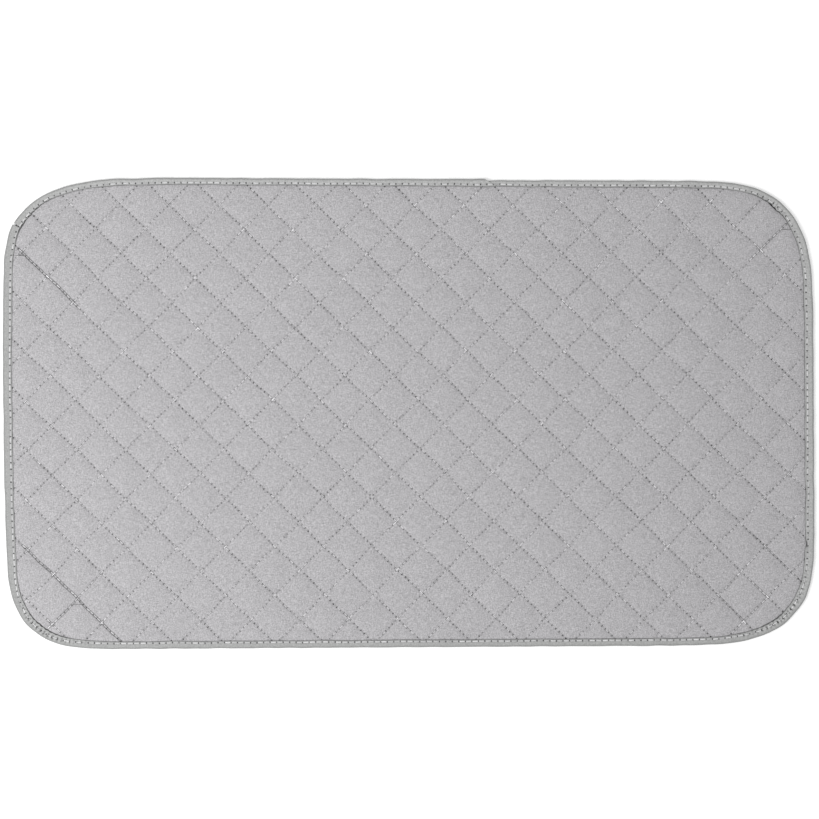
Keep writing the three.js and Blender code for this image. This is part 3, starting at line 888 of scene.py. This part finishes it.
# How the tape's upper side lies: drawn in at its seam and holes, full at the fold and curled at the lip
def tape_relief(run, inset):
    to_seam = inset - at_run(seam_inset, run)
    to_hole = (np.mod(run / edge_pitch + 0.5, 1) - 0.5) * edge_pitch
    drawn = bell(to_seam, SEAM_DRAW_WIDTH) * (SEAM_DRAW + HOLE_DRAW * bell(to_hole, HOLE_DRAW_WIDTH))
    full = FOLD_FULLNESS * bell(inset - FOLD_CREST, FOLD_SPREAD)
    curled = LIP_CURL * smooth_step(inset, at_run(seam_inset, run), at_run(lip, run))
    return full + curled - drawn + GATHER_RISE * gather(run, inset)


# How far each length of tape is lifted or pressed down in the lap
def lap_puff(run, over):
    away = run_away(run, splice_run)
    share = smooth_step(-away if over else away, -(LAP + LAP_EASE), -LAP)
    return (LAP_OVER if over else LAP_UNDER) * share


# How far the rim of each length stands out or in towards the lap
def lap_stand(run, over):
    away = np.maximum(np.abs(run_away(run, splice_run)) - LAP, 0)
    return (LAP_STAND if over else -LAP_STAND) * np.exp(-away / LAP_REACH)


# Map of a long band: cut into strips that lie side by side
def band_map(rows, columns):
    along, across = tube_corners(rows, columns)
    per_strip = math.ceil(rows / STRIPS)
    strip = along[:, :1] // per_strip
    end, side = STRIP_MARGINS
    u = end + (1 - 2 * end) * (along - strip * per_strip) / per_strip
    v = (strip + side + (1 - 2 * side) * across / columns) / STRIPS
    walls = np.stack([u, v], axis=-1).reshape(-1, 2)
    return np.vstack([walls, np.zeros((2 * columns, 2))])


def tape_piece(name, start, length, over):
    share, back, height, puffs = tape_section()
    stations = np.linspace(start, start + length, int(length / EDGE_STEP))
    run = np.repeat(stations[:, None], len(share), axis=1)
    inset = share * at_run(lip, run) + back
    outer = 1 - np.clip(inset / at_run(lip, run), 0, 1)
    butt_gap = (start + length - run) if over else (run - start)
    notch = NOTCH * outer * np.clip(1 - butt_gap / NOTCH_REACH, 0, 1)
    run = run + (-notch if over else notch)
    if over:
        run = run + LAP_SLANT * outer * np.clip(1 - (run - start) / SLANT_REACH, 0, 1)
    puff = lap_puff(run, over)
    stand = (lap_stand(run, over) + near_pixel(run, *BENT_RIM)) * outer
    if not over:
        stand = stand + BUTT_STAND * np.clip(1 - butt_gap / BUTT_REACH, 0, 1)
    wobble = RIM_WOBBLE * edge_noise(run, WOBBLE_LENGTH)
    place, normal = outline_at(run)
    place = place - (inset - stand - wobble)[..., None] * normal
    upper = np.clip(puffs, 0, 1)
    z = height + puff * puffs + tape_relief(run, inset) * upper
    vertices = np.concatenate([place, z[..., None]], axis=-1).reshape(-1, 3)
    values = {
        "edge_run": run,
        "edge_inset": inset,
        "seam_gap": inset - at_run(seam_inset, run),
        "lip_gap": at_run(lip, run) - inset,
        "gather": gather(run, inset),
        "pocket": near_pixel(run, *POCKET[:2]) * upper,
        "heavy": heaviness(run),
        # Painted light and shade by side: lighter on the right and upper sides, darker on the left and lower
        # ones
        "tone": at_run(by_side(TAPE_SIDE_SHADING), run),
    }
    return mesh_piece(name, vertices, tube_faces(1, *run.shape), band_map(*run.shape), values)


def edge_stitch_row(name, on_face):
    runs = np.arange(edge_stitches + 1) * edge_pitch
    place, normal = outline_at(runs)
    inset = at_run(seam_inset, runs)
    place = place - inset[:, None] * normal
    away = run_away(runs, splice_run)
    over = (away > -LAP) & (away < short_length)
    puff = np.where(over, lap_puff(runs, True), lap_puff(runs, False))
    if on_face:
        level = TAPE_HIGH + puff + tape_relief(runs, inset)
        rise = EDGE_RISE * rng.uniform(*EDGE_RISE_SPREAD, edge_stitches)
        radius, sides = EDGE_RADIUS, EDGE_SIDES
    else:
        level = TAPE_LOW - LOWER_PUFF * puff
        rise = EDGE_BOBBIN_RISE
        radius, sides = EDGE_BOBBIN_RADIUS, BOBBIN_SIDES
    points = np.column_stack([place, level])
    # Painted light on the stitches, strongest on the left and lower sides
    tone = at_run(by_side(EDGE_STITCH_LIGHT), runs[:-1])
    return stitches(name, points[:-1], points[1:], rise, radius, tone, sides)


magnets = [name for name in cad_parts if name.startswith("magnet")]


# Quads of a grid that leave room for the magnets
def clear_of_magnets(grid):
    pockets = np.array([((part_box(name)[0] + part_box(name)[1]) / 2)[:2] for name in magnets])
    middles = grid["places"][grid["quads"]].mean(axis=1)
    to_magnet = np.min(np.linalg.norm(middles[:, None, :] - pockets[None], axis=2), axis=1)
    return grid["quads"][to_magnet > MAGNET_POCKET]


# Pieces. The back cloth's proud stitches and the painted shade of its creases show less
face_grid = quilt_grid(FACE_PARTS)
back_grid = quilt_grid(BACK_PARTS)
for key in ("proud", "shaded_crease"):
    back_grid[key] *= BACK_SHOW
fill_grid = quilt_grid(FILL_PARTS)
face_points = at_height(face_grid, face_top(face_grid))
face_points = swollen(face_grid, face_points)
face = slab("quilted_face", face_grid, face_grid["quads"], face_points, face_points - (0, 0, CLOTH))

back_points = at_height(back_grid, back_under(back_grid))
back_inside = back_points + (0, 0, CLOTH)
back = slab("quilted_back", back_grid, back_grid["quads"], back_inside, back_points, shows_upper=False)

felt_under = at_height(fill_grid, back_under(fill_grid) + CLOTH + LAYER_GAP)
felt_points = at_height(fill_grid, felt_top(fill_grid))
felt = slab("felt_layer", fill_grid, clear_of_magnets(fill_grid), felt_points, felt_under)
wadding_points = at_height(fill_grid, wadding_top(fill_grid))
wadding_under = felt_points + (0, 0, LAYER_GAP)
wadding = slab("wadding_layer", fill_grid, fill_grid["quads"], wadding_points, wadding_under)

main_length = edge_length - short_length + LAP
tape_main = tape_piece("binding_main", butt_run, main_length, over=False)
tape_short = tape_piece("binding_short", splice_run - LAP, short_length + LAP, over=True)
falling_stitches = quilting_stitches("falling_stitches", falling, rising, True)
rising_stitches = quilting_stitches("rising_stitches", rising, falling, True, THREAD_TAILS)
falling_bobbin = quilting_stitches("falling_bobbin_stitches", falling, rising, False)
rising_bobbin = quilting_stitches("rising_bobbin_stitches", rising, falling, False)
edge_needle = edge_stitch_row("edge_needle_stitches", True)
edge_bobbin = edge_stitch_row("edge_bobbin_stitches", False)


# Finishes. A field is a shader value that can be reckoned with as a number can
class Field:
    def __init__(self, tree, socket):
        self.tree = tree
        self.socket = socket

    def math(self, operation, *others):
        made = self.tree.nodes.new("ShaderNodeMath")
        made.operation = operation
        for place, value in enumerate((self, *others)):
            if isinstance(value, Field):
                self.tree.links.new(value.socket, made.inputs[place])
            else:
                made.inputs[place].default_value = value
        return Field(self.tree, made.outputs[0])

    def __add__(self, other):
        return self.math("ADD", other)

    def __sub__(self, other):
        return self.math("SUBTRACT", other)

    def __mul__(self, other):
        return self.math("MULTIPLY", other)

    # This value, lessened by a share of it
    def dim(self, share):
        return self * (share * -1.0 + 1.0)

    # Fades from the most to 0 as this value goes from one limit to the other
    def fade(self, full, gone, most=1.0):
        made = self.tree.nodes.new("ShaderNodeMapRange")
        made.interpolation_type = "SMOOTHSTEP"
        self.tree.links.new(self.socket, made.inputs["Value"])
        made.inputs["From Min"].default_value = full
        made.inputs["From Max"].default_value = gone
        made.inputs["To Min"].default_value = most
        made.inputs["To Max"].default_value = 0.0
        return Field(self.tree, made.outputs["Result"])

    # Fades on both sides of a place that this value goes through
    def line(self, place, *limits):
        return (self - place).math("ABSOLUTE").fade(*limits)


class Finish:
    def __init__(self, name, roughness, sheen):
        self.material = bpy.data.materials.new(name)
        self.material.use_nodes = True
        self.tree = self.material.node_tree
        self.shader = self.tree.nodes["Principled BSDF"]
        self.shader.inputs["Roughness"].default_value = roughness
        self.shader.inputs["Sheen Weight"].default_value = sheen
        self.shader.inputs["Specular IOR Level"].default_value = SPECULAR_LEVEL
        self.place = self.tree.nodes.new("ShaderNodeTexCoord").outputs["Object"]

    def value(self, attribute):
        made = self.tree.nodes.new("ShaderNodeAttribute")
        made.attribute_name = attribute
        return Field(self.tree, made.outputs["Fac"])

    # Noise about 0, with features of the given sizes along x, y and z
    def noise(self, sizes, detail=2.0):
        mapping = self.tree.nodes.new("ShaderNodeMapping")
        mapping.inputs["Scale"].default_value = [1 / size for size in sizes]
        self.tree.links.new(self.place, mapping.inputs["Vector"])
        made = self.tree.nodes.new("ShaderNodeTexNoise")
        made.inputs["Scale"].default_value = 1.0
        made.inputs["Detail"].default_value = detail
        self.tree.links.new(mapping.outputs["Vector"], made.inputs["Vector"])
        return Field(self.tree, made.outputs["Fac"]) - 0.5

    def grain(self, size, detail=2.0):
        return self.noise((size, size, size), detail)

    def colour(self, colour, tone):
        made = self.tree.nodes.new("ShaderNodeVectorMath")
        made.operation = "SCALE"
        made.inputs["Vector"].default_value = colour
        self.tree.links.new(tone.socket, made.inputs["Scale"])
        self.tree.links.new(made.outputs["Vector"], self.shader.inputs["Base Color"])

    def bump(self, height, depth):
        made = self.tree.nodes.new("ShaderNodeBump")
        made.inputs["Strength"].default_value = 1.0
        made.inputs["Distance"].default_value = depth
        self.tree.links.new(height.socket, made.inputs["Height"])
        self.tree.links.new(made.outputs["Normal"], self.shader.inputs["Normal"])


# Spots at even steps along a line, faded out with the distance from them
def spots(phase, pitch, gap, full, gone):
    to_spot = ((phase + 0.5).math("FRACT") - 0.5) * pitch
    return (to_spot * to_spot + gap * gap).math("SQRT").fade(full, gone)


# Plain weave: yarns of uneven thickness both ways
def weave(finish, yarn, slub):
    return finish.noise((yarn, slub, slub)) + finish.noise((slub, yarn, yarn))


def weave_height(yarns, mottle):
    return yarns * YARN_BUMP + mottle * MOTTLE_BUMP


def quilted_cloth(name, colour, hole_shade):
    finish = Finish(name, roughness=0.9, sheen=0.08)
    yarns = weave(finish, yarn=0.55 * MM, slub=5 * MM)
    mottle = finish.grain(size=1.15 * MM, detail=3.0)
    broad = finish.grain(size=70 * MM)
    patchy = finish.grain(size=7 * MM)
    proudest = ((finish.value("proud") - PROUDEST_FROM) * (1 / PROUDEST_FROM)).math("MAXIMUM", 0.0)
    shaded_crease = finish.value("shaded_crease")
    tone = yarns * CLOTH_YARN_TONE + mottle * CLOTH_MOTTLE_TONE + broad * CLOTH_BROAD_TONE + 1.0
    height = weave_height(yarns, mottle)
    for family, strength in SEAM_SHADE_STRENGTHS:
        gap = finish.value(family + "_gap")
        phase = finish.value(family + "_phase") + patchy * HOLE_SHIFT
        uneven = finish.value(family + "_holes") * (patchy * HOLE_PATCHES + HOLE_MEAN)
        # Needle holes: a dimple in the relief, and painted shade in their colour
        holes = spots(phase, STITCH, gap, *HOLE_FADE) * uneven.math("MINIMUM", HOLE_MOST)
        # Painted shadows along both sides of proud stitches
        stitch_shadow = gap.line(*STITCH_SHADOW_LINE) * proudest
        # Painted shade in the creases beside the seams
        crease = gap.fade(*CREASE_SHADE) * (shaded_crease + CREASE_SHADE_MEAN)
        tone = tone.dim(holes * (hole_shade * strength)).dim(stitch_shadow * strength).dim(crease * strength)
        height = height - holes * HOLE_BUMP
    # The gap keeps the line beside its seam, since the other value jumps halfway to the next one
    shadow_line = finish.value("fall_past").line(*SHADOW_LINE)
    shadow_line = shadow_line * finish.value("fall_gap").fade(*SHADOW_REACH)
    tone = tone.dim(shadow_line * (proudest * PROUD_SHADOW + SHADOW_DEPTH))
    lip_shadow = finish.value("beyond_lip").fade(*LIP_SHADOW_FADE)
    tone = tone.dim(lip_shadow * (finish.value("heavy") * HEAVY_SHADOW + LIP_SHADOW))
    finish.colour(colour, tone)
    finish.bump(height, WEAVE_DEPTH)
    return finish.material


def tape_cloth(name, colour):
    finish = Finish(name, roughness=0.88, sheen=0.08)
    yarns = weave(finish, yarn=0.5 * MM, slub=4 * MM)
    mottle = finish.grain(size=1.3 * MM, detail=3.0)
    patchy = finish.grain(size=8 * MM)
    lip_gap = finish.value("lip_gap")
    heavy = finish.value("heavy")
    phase = finish.value("edge_run") * (1 / edge_pitch)
    # Needle holes darkened by painted shade
    holes = spots(phase, edge_pitch, finish.value("seam_gap"), *TAPE_HOLE_FADE)
    holes = (holes * (patchy * TAPE_HOLE_PATCHES + heavy * TAPE_HOLE_HEAVY + 1.0)).math("MINIMUM", 1.0)
    gathers = finish.value("gather")
    tone = yarns * TAPE_YARN_TONE + mottle * TAPE_MOTTLE_TONE + 1.0
    # Painted shade where the gathers' ripples rise, and painted light where they sink
    tone = tone.dim(holes * TAPE_HOLE_SHADE).dim(gathers.math("MAXIMUM", 0.0) * GATHER_SHADE)
    tone = tone * (gathers.math("MINIMUM", 0.0) * -GATHER_HIGHLIGHT + 1.0)
    # Painted shade on the rim's fold, along the lip, more where the tape is stitched down heavily, and in
    # the pocket
    tone = tone.dim(finish.value("edge_inset").fade(*RIM_SHADE)).dim(lip_gap.fade(*LIP_SHADE))
    tone = tone.dim(lip_gap.fade(*HEAVY_LIP_SHADE) * heavy)
    tone = tone.dim(lip_gap.fade(*POCKET_SHADE) * finish.value("pocket"))
    # The tone carries the painted light and shade of each side
    finish.colour(colour, tone * finish.value("tone"))
    finish.bump(weave_height(yarns, mottle), WEAVE_DEPTH)
    return finish.material


def thread(name, colour):
    finish = Finish(name, roughness=0.7, sheen=0.1)
    fibres = finish.grain(size=0.35 * MM)
    tone = finish.value("tone") + fibres * THREAD_TONE
    # Painted shade at each stitch's ends, where it dives into its hole
    tone = tone.dim(finish.value("stitch_end").fade(*THREAD_END_SHADE))
    finish.colour(colour, tone)
    finish.bump(fibres, depth=0.1 * MM)
    return finish.material


def fibre_fill(name, colour, size):
    finish = Finish(name, roughness=0.95, sheen=0.1)
    fibres = weave(finish, size, size * FIBRE_STRETCH)
    finish.colour(colour, fibres * FIBRE_TONE + 1.0)
    finish.bump(fibres, depth=0.3 * MM)
    return finish.material


def plated_metal(name, colour):
    finish = Finish(name, roughness=0.3, sheen=0.0)
    finish.shader.inputs["Metallic"].default_value = 1.0
    scuffs = finish.noise(sizes=(0.4 * MM, 4 * MM, 2 * MM), detail=4.0)
    finish.colour(colour, scuffs * SCUFF_TONE + 1.0)
    finish.bump(scuffs, depth=0.02 * MM)
    return finish.material


# Camera, lights and floor
def add_camera():
    data = bpy.data.cameras.new("camera")
    camera = add_object("camera", data)
    width = PICTURE_PX * MM_PER_PX * MM
    data.sensor_width = SENSOR_MM
    data.lens = SENSOR_MM * (CAMERA_HEIGHT - SEAM_TOP) / width
    data.clip_end = 20
    middle = from_pixel((PICTURE_PX - 1) / 2, (PICTURE_PX - 1) / 2)
    camera.location = (*middle, CAMERA_HEIGHT)
    bpy.context.scene.camera = camera


def add_key_light():
    data = bpy.data.lights.new("key", "AREA")
    data.shape = "DISK"
    data.size = KEY_SIZE
    data.energy = KEY_POWER
    key = add_object("key", data)
    key.location = KEY_PLACE
    key.rotation_euler = (Vector(KEY_AIM) - Vector(KEY_PLACE)).to_track_quat("-Z", "Y").to_euler()


# 1 for what the camera sees straight, in a mirror or through glass, and 0 for light on the object
def seen_share(tree):
    path = tree.nodes.new("ShaderNodeLightPath")
    straight, mirrored, through = (
        Field(tree, path.outputs[name]) for name in ("Is Camera Ray", "Is Glossy Ray", "Is Transmission Ray")
    )
    return straight.math("MAXIMUM", mirrored.math("MAXIMUM", through))


def add_world():
    world = bpy.data.worlds.new("world")
    bpy.context.scene.world = world
    world.use_nodes = True
    background = world.node_tree.nodes["Background"]
    background.inputs["Color"].default_value = (1, 1, 1, 1)
    strength = seen_share(world.node_tree) * (1 - SKY_LEVEL) + SKY_LEVEL
    world.node_tree.links.new(strength.socket, background.inputs["Strength"])


def add_floor():
    bpy.ops.mesh.primitive_plane_add(size=FLOOR_SIZE, location=(0, 0, -FLOOR_DROP))
    floor = bpy.context.object
    floor.name = "floor"
    material = bpy.data.materials.new("floor")
    material.use_nodes = True
    shader = material.node_tree.nodes["Principled BSDF"]
    shader.inputs["Base Color"].default_value = FLOOR_COLOUR
    shader.inputs["Roughness"].default_value = 1.0
    shader.inputs["Specular IOR Level"].default_value = 0.0
    shader.inputs["Emission Color"].default_value = (1, 1, 1, 1)
    glow = seen_share(material.node_tree) * FLOOR_GLOW
    material.node_tree.links.new(glow.socket, shader.inputs["Emission Strength"])
    floor.data.materials.append(material)
    floor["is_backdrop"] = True


add_camera()
add_key_light()
add_world()
add_floor()
bpy.context.scene.view_settings.view_transform = "Standard"


def dress(piece, slot, material, *nodes):
    piece.data.materials.append(material)
    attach(piece, "root")
    if nodes:
        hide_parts(*nodes)


face_cloth = quilted_cloth("face_cloth", FACE_COLOUR, FACE_HOLE_SHADE)
back_cloth = quilted_cloth("back_cloth", BACK_COLOUR, BACK_HOLE_SHADE)
tape_finish = tape_cloth("tape_cloth", TAPE_COLOUR)
thread_finish = thread("sewing_thread", THREAD_COLOUR)
dress(face, "face_cloth", face_cloth, "face_cover")
dress(back, "back_cloth", back_cloth, "back_cover")
dress(felt, "felt", fibre_fill("needle_felt", FELT_COLOUR, size=0.6 * MM), "insulating_felt")
dress(wadding, "wadding", fibre_fill("fibre_wadding", WADDING_COLOUR, size=1.2 * MM), "wadding")
dress(tape_main, "tape", tape_finish, "edge_tape_main")
dress(tape_short, "tape", tape_finish, "edge_tape_short")
dress(falling_stitches, "thread", thread_finish, *falling["names"])
dress(rising_stitches, "thread", thread_finish, *rising["names"])
dress(falling_bobbin, "thread", thread_finish)
dress(rising_bobbin, "thread", thread_finish)
dress(edge_needle, "thread", thread_finish, "edge_seam_needle_thread")
dress(edge_bobbin, "thread", thread_finish, "edge_seam_bobbin_thread")

# What the tape's two lengths were cut to
ahead = np.roll(edge, -1, axis=0)
main_cut = tape_cut(butt_run, main_length)
short_cut = tape_cut(splice_run - LAP, short_length + LAP)

nickel = plated_metal("nickel_plate", NICKEL_COLOUR)
for name in magnets:
    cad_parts[name].data.materials.clear()
    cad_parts[name].data.materials.append(nickel)

visual_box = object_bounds()
boxes = {"cad": cad_box, "visual": visual_box}
{name: [list(corner) for corner in box] for name, box in boxes.items()}
